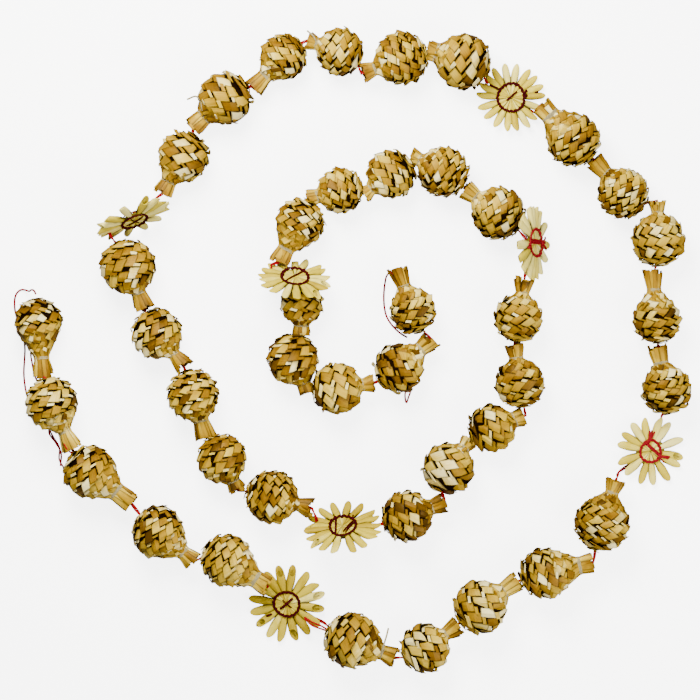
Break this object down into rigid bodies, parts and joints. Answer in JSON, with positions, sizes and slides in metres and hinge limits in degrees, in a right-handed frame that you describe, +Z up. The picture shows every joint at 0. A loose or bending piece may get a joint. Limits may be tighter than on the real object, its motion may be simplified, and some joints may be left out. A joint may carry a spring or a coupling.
{
  "type": "straw garland",
  "caption": "Straw garland of plaited straw balls and flat straw suns strung on a doubled red thread, lying loose in a flat spiral.",
  "frame": {"origin": "on the table, under the middle of the outline of the beads (the thread's loose ends don't count)", "axes": "+Z up from the table; +X along the spiral's longer side, towards the strand's right-hand turn; +Y towards the turn at the top"},
  "size_m": [0.4089, 0.3882, 0.0455],
  "materials": {
    "straw": "golden rye straw, split and plaited, semi-gloss with a fine grain along each straw",
    "pale_straw": "whole pale straw tubes with slanted cut ends, semi-gloss",
    "thread": "red cotton thread, matt and slightly fuzzy"
  },
  "bodies": {
    "root": {"ball_01": "straw", "ball_02": "straw", "ball_03": "straw", "ball_04": "straw", "ball_05": "straw", "ball_06": "straw", "ball_07": "straw", "ball_08": "straw", "ball_09": "straw", "ball_10": "straw", "ball_11": "straw", "ball_12": "straw", "ball_13": "straw", "ball_14": "straw", "ball_15": "straw", "ball_16": "straw", "ball_17": "straw", "ball_18": "straw", "ball_19": "straw", "ball_20": "straw", "ball_21": "straw", "ball_22": "straw", "ball_23": "straw", "ball_24": "straw", "ball_25": "straw", "ball_26": "straw", "ball_27": "straw", "ball_28": "straw", "ball_29": "straw", "ball_30": "straw", "ball_31": "straw", "ball_32": "straw", "ball_33": "straw", "ball_34": "straw", "ball_35": "straw", "ball_36": "straw", "ball_37": "straw", "ball_38": "straw", "ball_39": "straw", "ball_40": "straw", "ball_41": "straw", "sun_1": "pale_straw", "sun_lashing_1": "thread", "sun_2": "pale_straw", "sun_lashing_2": "thread", "sun_3": "pale_straw", "sun_lashing_3": "thread", "sun_4": "pale_straw", "sun_lashing_4": "thread", "sun_5": "pale_straw", "sun_lashing_5": "thread", "sun_6": "pale_straw", "sun_lashing_6": "thread", "sun_7": "pale_straw", "sun_lashing_7": "thread", "thread": "thread", "loose_end": "thread", "hanging_loop": "thread"}
  },
  "joints": []
}
